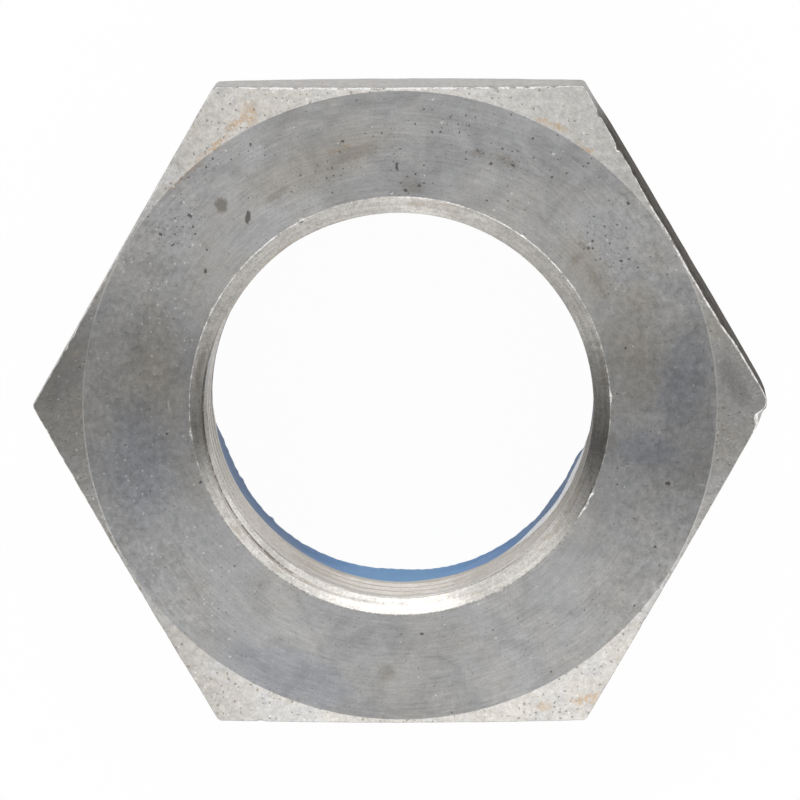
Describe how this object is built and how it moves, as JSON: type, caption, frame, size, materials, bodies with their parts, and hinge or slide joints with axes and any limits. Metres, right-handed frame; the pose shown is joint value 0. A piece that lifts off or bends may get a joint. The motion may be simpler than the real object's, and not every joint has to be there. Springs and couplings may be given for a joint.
{
  "type": "lock nut",
  "caption": "Thin hexagonal lock nut: turned steel body with a chamfered hexagon, fine-threaded bore and rolled collar that holds a blue nylon locking ring.",
  "frame": {"origin": "on the axis of the thread, at the rim of the collar, on which the nut lies", "axes": "+Z along the axis of the thread, out of the bearing face; +X towards a corner of the hexagon; two flats face +Y and -Y"},
  "size_m": [0.0528, 0.046, 0.0165],
  "materials": {
    "steel": "bright zinc-plated steel, turned faces with fine lathe marks, small pits and faint brown stains",
    "nylon": "satin blue nylon, slightly translucent"
  },
  "bodies": {
    "root": {"hex_body": "steel", "nylon_ring": "nylon"}
  },
  "joints": []
}
